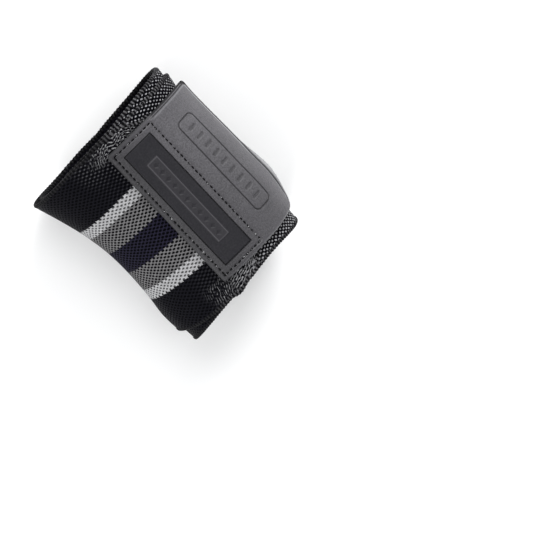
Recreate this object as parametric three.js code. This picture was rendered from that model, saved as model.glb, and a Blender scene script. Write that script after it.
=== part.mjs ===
// Wrist wrap: a knitted elastic band wound round the wrist and closed by a leather patch.
// Millimetres. X runs across the wrist, Y along the forearm to the hand, Z up from the palm side.
// The tube lies on its palm side, which is flat on Z = 0, and the patch is on top.
import * as THREE from 'three';

// Elastic band
const BAND_WIDTH = 80;
const BAND_THICKNESS = 1.5;
const BAND_TURNS = 2.59;
const RIM_RADIUS = 0.7;
const RIM_MARKS = [RIM_RADIUS / 3, RIM_RADIUS, 3 * RIM_RADIUS];
const LAYER_GAP = 0.3;

// Space that the wrist fills, at its narrowest section
const WRIST_WIDTH = 56;
const WRIST_CROWN_HEIGHT = 22;
const WRIST_PALM_DEPTH = 18;
const SOLE_WIDTH = 24;

// Closure patch
const PATCH_LENGTH = 68;
const PATCH_REACH = 52.5;
const PATCH_THICKNESS = 1.8;
const SEWN_CORNER_RADIUS = 1.5;
const FREE_FOREARM_RADIUS = 3.2;
const FREE_HAND_RADIUS = 7.5;
const PATCH_OVERHANG = 4.7;
const PATCH_SLANT = THREE.MathUtils.degToRad(3.8);
const PATCH_SETBACK = 1.9;
const LIP_WIDTH = 1;
const GROOVE_WIDTH = 0.6;
const GROOVE_DEPTH = 0.35;
const GROOVE_RUN_IN = 3;
const SEWN_REACH = 21.5;

// Inset panel and the plate raised on it
const PANEL_WIDTH = 14;
const PANEL_LENGTH = 58.6;
const PANEL_MARGIN = 4.7;
const PANEL_THICKNESS = 0.6;
const PANEL_DROP = 0.2;
const PLATE_WIDTH = 5.3;
const PLATE_LENGTH = 41.5;
const PLATE_RISE = 0.2;
const INLAY_GAP = 0.15;
const STEP_RUN = 0.12;

// Hook pad under the free part of the patch
const HOOK_PAD_THICKNESS = 1.4;
const HOOK_PAD_MARGIN = 3.5;
const HOOK_PAD_CLEARANCE = 1.2;

// Fineness of the meshes
const STATIONS_PER_TURN = 48;
const BAND_CELL = 15;
const PATCH_ROW_CELL = 4.5;
const PATCH_COLUMN_CELL = 9;
const WALK_SHARE = 1 / 720;

// Places round a section, as shares of a turn from the thumb side over the top
const CROWN_SHARE = 0.25;
const LITTLE_FINGER_SHARE = 0.5;
const PALM_SHARE = 0.75;
const SOLE_SHARE = 1 / 16;

// Sections from the forearm rim to the hand rim.
// along: share of half the band's width; width and shift: shares of WRIST_WIDTH;
// crown: share of WRIST_CROWN_HEIGHT.
const SECTIONS = [
  { along: -1.0, width: 1.17, shift: -0.026, crown: 1.12 },
  { along: -0.7, width: 1.075, shift: -0.029, crown: 1.05 },
  { along: -0.45, width: 1.03, shift: -0.04, crown: 1.02 },
  { along: -0.15, width: 1.0, shift: -0.048, crown: 1.0 },
  { along: 0.15, width: 0.995, shift: -0.042, crown: 1.0 },
  { along: 0.45, width: 1.015, shift: -0.028, crown: 1.01 },
  { along: 0.7, width: 1.012, shift: 0.006, crown: 1.03 },
  { along: 1.05, width: 0.985, shift: 0.02, crown: 1.05 },
];

// How the band wanders along the wrist as it is wound, from its inner end to its outer end.
// turn: turns wound so far; shift and width: shares of BAND_WIDTH.
const WINDING = [
  { turn: 0.0, shift: 0.0, width: 1.0 },
  { turn: 0.25, shift: -0.008, width: 1.0 },
  { turn: 0.5, shift: -0.028, width: 1.0 },
  { turn: 0.75, shift: -0.032, width: 1.0 },
  { turn: 1.0, shift: 0.004, width: 1.0 },
  { turn: 1.22, shift: 0.06, width: 1.0 },
  { turn: 1.38, shift: 0.018, width: 0.99 },
  { turn: 1.55, shift: -0.008, width: 0.99 },
  { turn: 1.75, shift: 0.022, width: 0.99 },
  { turn: 2.0, shift: 0.0, width: 0.975 },
  { turn: 2.25, shift: -0.026, width: 0.97 },
  { turn: 2.38, shift: -0.019, width: 1.0 },
  { turn: 2.5, shift: -0.014, width: 1.018 },
  { turn: 2.53, shift: -0.015, width: 0.985 },
  { turn: 2.56, shift: -0.018, width: 0.89 },
  { turn: 2.59, shift: -0.02, width: 0.83 },
];

const LAYER_PITCH = BAND_THICKNESS + LAYER_GAP;
const WHOLE_TURNS = Math.floor(BAND_TURNS);
const SOLE_LIFT = WHOLE_TURNS * LAYER_PITCH + BAND_THICKNESS;
const SIDE_LEVEL = WRIST_PALM_DEPTH + SOLE_LIFT;
const HALF_BAND = BAND_WIDTH / 2;
const OUTER = 1;
const INNER = 0;
const MIDDLE = (INNER + OUTER) / 2;

// Reads a table as a smooth curve through its rows.
function smoothTable(rows, key, columns) {
  const keys = rows.map((row) => row[key]);
  const values = rows.flatMap((row) => columns.map((column) => row[column]));
  const curve = new THREE.CubicInterpolant(keys, values, columns.length);
  return (at) => Object.fromEntries(columns.map((column, k) => [column, curve.evaluate(at)[k]]));
}

const sectionShares = smoothTable(SECTIONS, 'along', ['width', 'shift', 'crown']);
const windingShares = smoothTable(WINDING, 'turn', ['shift', 'width']);

// The wrist's section at one place along the forearm.
function wristSection(along) {
  const shares = sectionShares(along / HALF_BAND);
  return {
    shift: shares.shift * WRIST_WIDTH,
    halfWidth: shares.width * WRIST_WIDTH / 2,
    crown: shares.crown * WRIST_CROWN_HEIGHT,
  };
}

// A quarter or half ellipse: its point and its outward normal at an angle.
function ellipse(centreX, halfWidth, height, angle) {
  const point = new THREE.Vector2(centreX + halfWidth * Math.cos(angle), height * Math.sin(angle));
  const normal = new THREE.Vector2(height * Math.cos(angle), halfWidth * Math.sin(angle)).normalize();
  return { point, normal };
}

// One section is half an ellipse over the top, a flat sole, and a quarter ellipse at each side.
function sectionOutline(around, section) {
  const turn = THREE.MathUtils.euclideanModulo(around, 1);
  const halfSole = SOLE_WIDTH / 2;
  const cornerShare = PALM_SHARE - LITTLE_FINGER_SHARE - SOLE_SHARE;
  const cornerWidth = section.halfWidth - halfSole;
  if (turn <= LITTLE_FINGER_SHARE) {
    return ellipse(0, section.halfWidth, section.crown, 2 * Math.PI * turn);
  }
  if (turn < PALM_SHARE - SOLE_SHARE) {
    const quarter = (turn - LITTLE_FINGER_SHARE) / cornerShare;
    return ellipse(-halfSole, cornerWidth, WRIST_PALM_DEPTH, Math.PI * (1 + quarter / 2));
  }
  if (turn <= PALM_SHARE + SOLE_SHARE) {
    const point = new THREE.Vector2(halfSole * (turn - PALM_SHARE) / SOLE_SHARE, -WRIST_PALM_DEPTH);
    return { point, normal: new THREE.Vector2(0, -1) };
  }
  const quarter = (turn - PALM_SHARE - SOLE_SHARE) / cornerShare;
  return ellipse(halfSole, cornerWidth, WRIST_PALM_DEPTH, Math.PI * (3 + quarter) / 2);
}

// A point at a height above the skin.
function surfacePoint(around, along, lift) {
  const section = wristSection(along);
  const { point, normal } = sectionOutline(around, section);
  const x = section.shift + point.x + normal.x * lift;
  const z = SIDE_LEVEL + point.y + normal.y * lift;
  return new THREE.Vector3(x, along, z);
}

// Height of the winding above the skin. It stays level on the sole, which the wrap rests on.
function windingLift(turn) {
  const whole = Math.floor(turn);
  const rise = (turn - whole - SOLE_SHARE) / (1 - 2 * SOLE_SHARE);
  return LAYER_PITCH * (whole + THREE.MathUtils.clamp(rise, 0, 1));
}

// Turns wound when a layer passes a place round the section.
function turnAt(around, layer) {
  return layer + THREE.MathUtils.euclideanModulo(around - PALM_SHARE, 1);
}

// Walks round a section from the crown to the little finger side by a distance.
function walkFromCrown(along, lift, distance) {
  const step = Math.sign(distance) * WALK_SHARE;
  let around = CROWN_SHARE;
  let left = Math.abs(distance);
  let here = surfacePoint(around, along, lift);
  for (;;) {
    const next = surfacePoint(around + step, along, lift);
    const length = here.distanceTo(next);
    if (length >= left) {
      return around + step * left / length;
    }
    left -= length;
    around += step;
    here = next;
  }
}

// The distance of such a walk from the crown to a given place round the section.
function distanceFromCrown(along, lift, around) {
  let distance = 0;
  let here = surfacePoint(CROWN_SHARE, along, lift);
  for (let place = CROWN_SHARE + WALK_SHARE; place <= around; place += WALK_SHARE) {
    const next = surfacePoint(place, along, lift);
    distance += here.distanceTo(next);
    here = next;
  }
  return distance;
}

// Distances from 0 to length that include the marks, with no cell wider than the given one.
function gridLines(length, marks, cell) {
  const stops = [0, ...marks, length].sort((a, b) => a - b);
  const lines = [0];
  for (let k = 1; k < stops.length; k += 1) {
    const span = stops[k] - stops[k - 1];
    const cells = Math.ceil(span / cell);
    for (let n = 1; n <= cells; n += 1) {
      lines.push(stops[k - 1] + span * n / cells);
    }
  }
  return lines;
}

// The same marks measured from both ends of a length.
function fromBothEnds(length, marks) {
  return marks.flatMap((mark) => [mark, length - mark]);
}

// A closed sheet between an inner and an outer grid of points.
function sheetGeometry(rows, columns, place) {
  const positions = [];
  for (const face of [INNER, OUTER]) {
    for (const row of rows) {
      for (const column of columns) {
        positions.push(...place(row, column, face).toArray());
      }
    }
  }
  const last = { row: rows.length - 1, column: columns.length - 1 };
  const index = (face, row, column) => (face * rows.length + row) * columns.length + column;
  const triangles = [];
  const quad = (a, b, c, d) => triangles.push(a, b, c, a, c, d);
  for (let i = 0; i < last.row; i += 1) {
    for (let j = 0; j < last.column; j += 1) {
      quad(index(OUTER, i, j), index(OUTER, i, j + 1), index(OUTER, i + 1, j + 1), index(OUTER, i + 1, j));
      quad(index(INNER, i, j), index(INNER, i + 1, j), index(INNER, i + 1, j + 1), index(INNER, i, j + 1));
    }
    const end = last.column;
    quad(index(INNER, i, 0), index(OUTER, i, 0), index(OUTER, i + 1, 0), index(INNER, i + 1, 0));
    quad(index(INNER, i, end), index(INNER, i + 1, end), index(OUTER, i + 1, end), index(OUTER, i, end));
  }
  for (let j = 0; j < last.column; j += 1) {
    const end = last.row;
    quad(index(INNER, 0, j), index(INNER, 0, j + 1), index(OUTER, 0, j + 1), index(OUTER, 0, j));
    quad(index(INNER, end, j), index(OUTER, end, j), index(OUTER, end, j + 1), index(INNER, end, j + 1));
  }
  const geometry = new THREE.BufferGeometry();
  geometry.setAttribute('position', new THREE.Float32BufferAttribute(positions, 3));
  geometry.setIndex(triangles);
  geometry.computeVertexNormals();
  return geometry;
}

// The band is one strip, wound from its inner end on the palm to its outer end under the patch.
function bandGeometry() {
  const wound = Math.floor(BAND_TURNS * STATIONS_PER_TURN);
  const turns = Array.from({ length: wound + 1 }, (_, k) => k / STATIONS_PER_TURN);
  turns.push(BAND_TURNS);
  const columns = gridLines(BAND_WIDTH, fromBothEnds(BAND_WIDTH, RIM_MARKS), BAND_CELL);
  return sheetGeometry(turns, columns, (turn, column, face) => {
    const shares = windingShares(turn);
    const across = (column - HALF_BAND) * shares.width;
    const rimDistance = Math.min(column, BAND_WIDTH - column, RIM_RADIUS);
    const roundness = Math.sqrt(1 - (1 - rimDistance / RIM_RADIUS) ** 2);
    const rimThickness = BAND_THICKNESS - 2 * RIM_RADIUS * (1 - roundness);
    const middle = windingLift(turn) + BAND_THICKNESS / 2;
    const lift = middle + (face - MIDDLE) * rimThickness;
    return surfacePoint(PALM_SHARE + turn, shares.shift * BAND_WIDTH + across, lift);
  });
}

const SEWN_LIFT = windingLift(BAND_TURNS) + LAYER_PITCH;

// A point over the patch: reach is measured from its sewn edge, column from its forearm edge.
function patchPoint(reach, column, lift) {
  const across = column - PATCH_LENGTH / 2;
  const along = across * Math.cos(PATCH_SLANT) + reach * Math.sin(PATCH_SLANT) - PATCH_SETBACK;
  const edge = PATCH_OVERHANG + across * Math.sin(PATCH_SLANT) - wristSection(along).shift;
  const around = walkFromCrown(along, SEWN_LIFT, reach * Math.cos(PATCH_SLANT) - edge);
  return surfacePoint(around, along, windingLift(turnAt(around, WHOLE_TURNS + 1)) + lift);
}

// How far a round corner draws in the end of a line at a distance from the patch's edge.
function cornerInset(reach, freeRadius) {
  const radius = reach < PATCH_REACH / 2 ? SEWN_CORNER_RADIUS : freeRadius;
  const edge = Math.min(reach, PATCH_REACH - reach, radius);
  return radius - Math.sqrt(radius ** 2 - (radius - edge) ** 2);
}

// Draws the patch's columns in towards its corners, so that they are round.
function roundedColumn(reach, column) {
  const first = cornerInset(reach, FREE_FOREARM_RADIUS);
  const last = PATCH_LENGTH - cornerInset(reach, FREE_HAND_RADIUS);
  return THREE.MathUtils.lerp(first, last, column / PATCH_LENGTH);
}

// 1 inside a rectangle on the patch, 0 outside it, with a short slope between.
function insideRectangle(reach, column, low, high) {
  const inward = Math.min(reach - low.reach, high.reach - reach, column - low.column, high.column - column);
  return THREE.MathUtils.clamp(inward / STEP_RUN + 1, 0, 1);
}

// Grid lines at both ends of a span, and where the slope just outside each end begins.
function slopeMarks(low, high) {
  return [low - STEP_RUN, low, high, high + STEP_RUN];
}

const PANEL_LOW = { reach: PANEL_MARGIN, column: (PATCH_LENGTH - PANEL_LENGTH) / 2 };
const PANEL_HIGH = { reach: PANEL_MARGIN + PANEL_WIDTH, column: (PATCH_LENGTH + PANEL_LENGTH) / 2 };

// The patch has a recess for the panel, and round its free part a lip with a groove inside it.
function patchGeometry() {
  const grooveMiddle = LIP_WIDTH + GROOVE_WIDTH / 2;
  const edgeMarks = [LIP_WIDTH / 3, LIP_WIDTH, grooveMiddle, LIP_WIDTH + GROOVE_WIDTH];
  const reachMarks = [
    ...fromBothEnds(PATCH_REACH, edgeMarks),
    ...slopeMarks(PANEL_LOW.reach, PANEL_HIGH.reach),
    SEWN_REACH,
    SEWN_REACH + GROOVE_RUN_IN,
  ];
  const columnMarks = [
    ...fromBothEnds(PATCH_LENGTH, edgeMarks),
    ...slopeMarks(PANEL_LOW.column, PANEL_HIGH.column),
  ];
  const rows = gridLines(PATCH_REACH, reachMarks, PATCH_ROW_CELL);
  const columns = gridLines(PATCH_LENGTH, columnMarks, PATCH_COLUMN_CELL);
  const recessDepth = PANEL_THICKNESS + INLAY_GAP + PANEL_DROP;
  return sheetGeometry(rows, columns, (reach, column, face) => {
    const edge = Math.min(PATCH_REACH - reach, column, PATCH_LENGTH - column);
    const fromGroove = Math.abs(edge - grooveMiddle) / (GROOVE_WIDTH / 2);
    const free = THREE.MathUtils.clamp((reach - SEWN_REACH) / GROOVE_RUN_IN, 0, 1);
    const groove = free * GROOVE_DEPTH * Math.max(0, 1 - fromGroove);
    const recess = recessDepth * insideRectangle(reach, column, PANEL_LOW, PANEL_HIGH);
    const lift = face === OUTER ? PATCH_THICKNESS - groove - recess : 0;
    return patchPoint(reach, roundedColumn(reach, column), lift);
  });
}

// The panel lies in the patch's recess, and its plate stands a little higher.
function panelGeometry() {
  const sideGap = INLAY_GAP + STEP_RUN;
  const length = PANEL_LENGTH - 2 * sideGap;
  const width = PANEL_WIDTH - 2 * sideGap;
  const low = { reach: (width - PLATE_WIDTH) / 2, column: (length - PLATE_LENGTH) / 2 };
  const high = { reach: width - low.reach, column: length - low.column };
  const rows = gridLines(width, slopeMarks(low.reach, high.reach), PATCH_ROW_CELL);
  const columns = gridLines(length, slopeMarks(low.column, high.column), PATCH_COLUMN_CELL);
  const floor = PATCH_THICKNESS - PANEL_DROP - PANEL_THICKNESS;
  return sheetGeometry(rows, columns, (row, column, face) => {
    const rise = PANEL_THICKNESS + PLATE_RISE * insideRectangle(row, column, low, high);
    const reach = PANEL_LOW.reach + sideGap + row;
    return patchPoint(reach, PANEL_LOW.column + sideGap + column, floor + face * rise);
  });
}

// The hook pad fills the step past the band's outer end, between the patch and the turn below.
function hookPadGeometry() {
  const bandEnd = THREE.MathUtils.euclideanModulo(PALM_SHARE + BAND_TURNS, 1);
  const sewn = distanceFromCrown(0, SEWN_LIFT, bandEnd) + PATCH_OVERHANG - wristSection(0).shift;
  const start = sewn + HOOK_PAD_CLEARANCE;
  const rows = gridLines(PATCH_REACH - HOOK_PAD_MARGIN - start, [], PATCH_ROW_CELL);
  const length = PATCH_LENGTH - 2 * HOOK_PAD_MARGIN;
  const columns = gridLines(length, [], PATCH_COLUMN_CELL);
  return sheetGeometry(rows, columns, (row, column, face) => {
    const lift = (face - 1) * HOOK_PAD_THICKNESS - LAYER_GAP;
    return patchPoint(start + row, HOOK_PAD_MARGIN + column, lift);
  });
}

const KNIT = new THREE.MeshStandardMaterial({ color: 0x1b1b20, roughness: 0.85, metalness: 0 });
const LEATHER = new THREE.MeshStandardMaterial({ color: 0x626267, roughness: 0.55, metalness: 0 });
const PANEL = new THREE.MeshStandardMaterial({ color: 0x39383e, roughness: 0.5, metalness: 0 });
const HOOK_TAPE = new THREE.MeshStandardMaterial({ color: 0x151517, roughness: 0.9, metalness: 0 });

function piece(name, geometry, material) {
  const mesh = new THREE.Mesh(geometry, material);
  mesh.name = name;
  return mesh;
}

const group = new THREE.Group();
group.add(piece('elastic_band', bandGeometry(), KNIT));
group.add(piece('closure_patch', patchGeometry(), LEATHER));
group.add(piece('inset_panel', panelGeometry(), PANEL));
group.add(piece('hook_pad', hookPadGeometry(), HOOK_TAPE));

// The origin is under the middle of the whole wrap, on the surface that it rests on.
const middle = new THREE.Box3().setFromObject(group, true).getCenter(new THREE.Vector3());
group.position.set(-middle.x, -middle.y, 0);

export default group;
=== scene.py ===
"""Looks of a striped elastic wrist wrap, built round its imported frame.

Metres, in the frame's axes: X across the tube, Y along it from its wide end, Z up to the patch.
"""
import math

import bpy
import numpy as np
from mathutils import Matrix, Vector


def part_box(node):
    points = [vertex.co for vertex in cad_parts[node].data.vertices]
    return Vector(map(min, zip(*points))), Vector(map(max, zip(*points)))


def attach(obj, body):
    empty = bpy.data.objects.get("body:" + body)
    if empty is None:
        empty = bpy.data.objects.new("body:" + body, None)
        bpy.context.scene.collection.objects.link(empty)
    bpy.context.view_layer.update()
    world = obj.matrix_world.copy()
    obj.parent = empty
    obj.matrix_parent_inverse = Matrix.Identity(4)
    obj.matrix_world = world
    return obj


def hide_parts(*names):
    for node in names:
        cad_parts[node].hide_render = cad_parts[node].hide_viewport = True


bl_info = {
    "name": "Wrist wrap",
    "version": (1, 0, 0),
    "blender": (4, 5, 0),
    "location": "View3D > Sidebar > Wrist wrap",
    "description": "Builds a knitted elastic wrist wrap with its stitched leather patch",
    "category": "Add Mesh",
}

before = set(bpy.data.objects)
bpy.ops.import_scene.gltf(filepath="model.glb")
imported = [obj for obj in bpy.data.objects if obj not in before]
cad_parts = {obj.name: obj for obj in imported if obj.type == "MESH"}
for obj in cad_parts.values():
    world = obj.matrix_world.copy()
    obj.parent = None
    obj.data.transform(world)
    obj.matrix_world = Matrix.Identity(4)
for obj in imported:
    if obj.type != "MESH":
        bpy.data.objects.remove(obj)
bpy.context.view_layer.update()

# Places round a section, as shares of a turn that starts at +X and goes over the top
CROWN = 0.25
FAR_SIDE = 0.5
UNDERSIDE = 0.75
SOLE_SHARE = 1 / 16

# The hollow of the tube, at its narrowest section
HOLLOW_WIDTH = 0.056
HOLLOW_RISE = 0.022
HOLLOW_DROP = 0.018
SOLE_WIDTH = 0.024

# The frame's own rim and stations, which only set where the winding lies in it
FRAME_RIM = 0.0007
FRAME_STATIONS = 48
FRAME_CELLS = 6

# Step of the walk round a section that measures the patch's reach, as a share of a turn
WALK_STEP = 1 / 720

# Sections from the wide end to the narrow one, as shares of half the band and of the hollow
SECTIONS = {
    "along": (-1.0, -0.7, -0.45, -0.15, 0.15, 0.45, 0.7, 1.05),
    "width": (1.17, 1.075, 1.03, 1.0, 0.995, 1.015, 1.012, 0.985),
    "shift": (-0.026, -0.029, -0.04, -0.048, -0.042, -0.028, 0.006, 0.02),
    "crown": (1.12, 1.05, 1.02, 1.0, 1.0, 1.01, 1.03, 1.05),
}

# How the band wanders along the tube as it is wound, in shares of its width
WINDING = {
    "turn": (0.0, 0.25, 0.5, 0.75, 1.0, 1.22, 1.38, 1.55, 1.75, 2.0, 2.25, 2.38, 2.5, 2.53, 2.56, 2.59),
    "shift": (0.0, -0.008, -0.028, -0.032, 0.004, 0.06, 0.018, -0.008, 0.022, 0.0, -0.026, -0.019,
              -0.014, -0.015, -0.018, -0.02),
    "width": (1.0, 1.0, 1.0, 1.0, 1.0, 1.0, 0.99, 0.99, 0.99, 0.975, 0.97, 1.0, 1.018, 0.985, 0.89, 0.83),
}

# Gathers beside the patch: the turn where the finer mesh starts, and the band's plain middle
FINE_FROM = 2.27
PLAIN_HALF = 0.0275

# Height of the soft waves in the rest of the band
SOFT_SWELL = 0.00012

# Borders of the stripes, in columns of holes from the middle
LIGHT_BORDER = 12.5
GREY_BORDER = 9.5
NAVY_BORDER = 3.5

# Spacing of the strands that show in the gathers
STRAND_PITCH = 0.00105

# The patch's corners: the two sewn ones, and the free ones at the wide and at the narrow end
SEWN_CORNER = 0.0009
FREE_CORNERS = (0.0032, 0.0112)

# Relief of the patch
EDGE_ROUNDING = 0.00055
GROOVE_DEPTH = 0.00048
RECESS_DEPTH = 0.00095
RECESS_WALL = 0.00012
SEAM_DEPTH = 0.00016
FRAME_DEPTH = 0.00034
BAR_DEPTH = 0.0003
BAR_PITCH = 0.0046
MOTIF_REACH = 0.0335

# The panel's gap in its recess, and the small lozenges on its plate
PANEL_GAP = 0.00027
LOZENGE_PITCH = 0.0036
LOZENGE_DEPTH = 0.00022

# In the plane that the camera faces: the direction to the picture's right, and where the camera aims
PICTURE_RIGHT = (-0.6797, 0.7335)
AIM = (-0.00857, 0.0461)
AIM_HEIGHT = 0.025


def length(name, description, default):
    """A size in metres."""
    return bpy.props.FloatProperty(
        name=name, description=description, default=default, min=0.0, precision=5, unit="LENGTH")


def colour(name, description, default):
    """A linear colour."""
    return bpy.props.FloatVectorProperty(
        name=name, description=description, default=default, size=3, min=0.0, max=1.0, subtype="COLOR")


def angle(name, description, degrees):
    """An angle, given in degrees."""
    return bpy.props.FloatProperty(
        name=name, description=description, default=math.radians(degrees), unit="ROTATION")


class WrapBand(bpy.types.PropertyGroup):
    """Sizes and colours of the knitted band"""

    width: length("Width", "Width of the band", 0.080)
    thickness: length("Thickness", "Thickness of one layer", 0.0015)
    layer_gap: length("Layer gap", "Gap between two layers", 0.0003)
    turns: bpy.props.FloatProperty(name="Turns", description="Turns of the winding", default=2.59)
    rim_width: length("Rim width", "Width of the ribbed rim", 0.0020)
    rim_height: length("Rim height", "Thickness of the ribbed rim", 0.0017)
    rib_pitch: length("Rib pitch", "Distance between two ribs of a rim", 0.00148)
    row_pitch: length("Row pitch", "Distance between two rows of knitting", 0.00136)
    column_pitch: length("Column pitch", "Distance between two holes in a row", 0.00161)
    stripe_shift: length("Stripe shift", "How far the stripes lie from the band's middle", 0.002)
    gather_depth: length("Gather depth", "Depth of the gathers beside the patch", 0.00045)
    black: colour("Black yarn", "Yarn outside the stripes", (0.0034, 0.0033, 0.0052))
    navy: colour("Navy yarn", "Yarn of the middle stripe", (0.0106, 0.0097, 0.0195))
    grey: colour("Grey yarn", "Yarn of the mid grey stripes", (0.119, 0.117, 0.120))
    light: colour("Light yarn", "Yarn of the light stripes", (0.305, 0.305, 0.312))


class WrapPatch(bpy.types.PropertyGroup):
    """Sizes and colours of the closure patch and what is on it"""

    length: length("Length", "Length along the tube", 0.068)
    reach: length("Reach", "Length round the tube", 0.0525)
    thickness: length("Thickness", "Thickness of the patch", 0.0018)
    overhang: length("Overhang", "How far the sewn edge lies before the crown", 0.0047)
    setback: length("Setback", "How far the patch lies towards the wide end", 0.0019)
    slant: angle("Slant", "Turn of the patch on the band", 3.8)
    sewn_margin: length("Sewn margin", "Distance of the stitches from the edge", 0.0021)
    sewn_reach: length("Sewn reach", "Distance of the far row of stitches", 0.0215)
    stitch_pitch: length("Stitch pitch", "Distance between two stitches", 0.0021)
    thread: length("Thread", "Diameter of the thread", 0.00058)
    panel_width: length("Panel width", "Width of the inset panel", 0.014)
    panel_length: length("Panel length", "Length of the inset panel", 0.0586)
    panel_margin: length("Panel margin", "Distance of the panel from the sewn edge", 0.0047)
    panel_thickness: length("Panel thickness", "Thickness of the inset panel", 0.0006)
    leather: colour("Leather", "Colour of the patch", (0.0548, 0.0526, 0.0585))
    panel: colour("Panel", "Colour of the inset panel", (0.0066, 0.0062, 0.0090))
    plate: colour("Plate", "Colour of the raised plate", (0.017, 0.016, 0.0195))
    sewing: colour("Sewing thread", "Colour of the thread", (0.002, 0.002, 0.0025))


class WrapStage(bpy.types.PropertyGroup):
    """The floor, the lights and the camera"""

    field: length("Field", "Width that the camera sees at the wrap", 0.216)
    distance: length("Distance", "Distance of the camera", 1.2)
    tilt: angle("Tilt", "Camera's tilt towards the wide end", 10)
    floor: colour("Floor", "Colour of the floor", (0.95, 0.95, 0.95))


def band():
    return bpy.context.scene.wrap_band


def patch():
    return bpy.context.scene.wrap_patch


# Curves and places

def smooth_table(table, key, column, at):
    """Reads a column of a table as a smooth curve through its values."""
    keys, values = np.array(table[key]), np.array(table[column])
    slopes = np.diff(values) / np.diff(keys)
    tangents = (np.append(slopes[0], slopes) + np.append(slopes, slopes[-1])) / 2
    at = np.clip(at, keys[0], keys[-1])
    before = np.clip(np.searchsorted(keys, at, side="right"), 1, len(keys) - 1) - 1
    span = keys[before + 1] - keys[before]
    share = (at - keys[before]) / span
    blend = share * share * (3 - 2 * share)
    bend = tangents[before] * (1 - share) - tangents[before + 1] * share
    return values[before] * (1 - blend) + values[before + 1] * blend + span * share * (1 - share) * bend


def smoothstep(low, high, at):
    """0 up to low, 1 from high on, with a smooth slope between."""
    share = np.clip((at - low) / (high - low), 0, 1)
    return share * share * (3 - 2 * share)


def hollow_section(along):
    """Shift, half width and crown height of the hollow at places along the tube."""
    at = along / (band().width / 2)
    shift, width, crown = (
        smooth_table(SECTIONS, "along", column, at) for column in ("shift", "width", "crown"))
    return shift * HOLLOW_WIDTH, width * HOLLOW_WIDTH / 2, crown * HOLLOW_RISE


def surface_point(around, along, lift):
    """Points at a height above the hollow: half an ellipse, a flat sole and two quarter ellipses."""
    around, along, lift = np.broadcast_arrays(around, along, lift)
    shift, half_width, crown = hollow_section(along)
    turn = np.mod(around, 1.0)
    half_sole = SOLE_WIDTH / 2
    corner_share = UNDERSIDE - FAR_SIDE - SOLE_SHARE
    on_top = turn <= FAR_SIDE
    first_corner = ~on_top & (turn < UNDERSIDE - SOLE_SHARE)
    on_sole = ~on_top & ~first_corner & (turn <= UNDERSIDE + SOLE_SHARE)
    angle = np.where(on_top, math.tau * turn, np.where(
        first_corner,
        np.pi * (1 + (turn - FAR_SIDE) / corner_share / 2),
        np.pi * (3 + (turn - UNDERSIDE - SOLE_SHARE) / corner_share) / 2))
    wide = np.where(on_top, half_width, half_width - half_sole)
    high = np.where(on_top, crown, HOLLOW_DROP)
    centre = np.where(on_top, 0.0, np.where(first_corner, -half_sole, half_sole))
    cosine, sine = np.cos(angle), np.sin(angle)
    size = np.hypot(high * cosine, wide * sine)
    x = np.where(on_sole, half_sole * (turn - UNDERSIDE) / SOLE_SHARE, centre + wide * cosine)
    z = np.where(on_sole, -HOLLOW_DROP, high * sine)
    normal_x = np.where(on_sole, 0.0, high * cosine / size)
    normal_z = np.where(on_sole, -1.0, wide * sine / size)
    level = HOLLOW_DROP + math.floor(band().turns) * layer_pitch() + band().thickness
    return np.stack([shift + x + normal_x * lift, along, level + z + normal_z * lift], axis=-1)


def layer_pitch():
    return band().thickness + band().layer_gap


def winding_lift(turn):
    """Height of the winding above the hollow. It stays level on the sole."""
    whole = np.floor(turn)
    rise = (turn - whole - SOLE_SHARE) / (1 - 2 * SOLE_SHARE)
    return layer_pitch() * (whole + np.clip(rise, 0, 1))


def band_point(turn, across, lift):
    """Points of the wound band, before the frame's shift. lift is from the layer's inner face."""
    shift = smooth_table(WINDING, "turn", "shift", turn) * band().width
    along = shift + across * smooth_table(WINDING, "turn", "width", turn)
    return surface_point(UNDERSIDE + turn, along, winding_lift(turn) + lift)


def frame_shift():
    """How far the frame moved these points: its band's lowest corner against theirs."""
    stations = np.arange(math.floor(band().turns * FRAME_STATIONS) + 1) / FRAME_STATIONS
    turns = np.append(stations, band().turns)
    half = band().width / 2
    rim = np.array([0, FRAME_RIM / 3, FRAME_RIM])
    middle = np.linspace(3 * FRAME_RIM, 2 * half - 3 * FRAME_RIM, FRAME_CELLS + 1)
    columns = np.concatenate([rim, middle, (2 * half - rim)[::-1]]) - half
    turn, across = np.meshgrid(turns, columns, indexing="ij")
    inward = np.minimum(half - np.abs(across), FRAME_RIM) / FRAME_RIM
    thick = band().thickness - 2 * FRAME_RIM * (1 - np.sqrt(1 - (1 - inward) ** 2))
    faces = [band_point(turn, across, band().thickness / 2 + face * thick / 2) for face in (-1, 1)]
    return np.array(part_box("elastic_band")[0]) - np.min(faces, axis=(0, 1, 2))


def band_lengths():
    """Turns, and the distance along the band's middle line up to each of them."""
    turns = np.linspace(0, band().turns, 4001)
    points = band_point(turns, 0.0, band().thickness)
    steps = np.linalg.norm(np.diff(points, axis=0), axis=1)
    return turns, np.concatenate([[0], np.cumsum(steps)])


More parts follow.
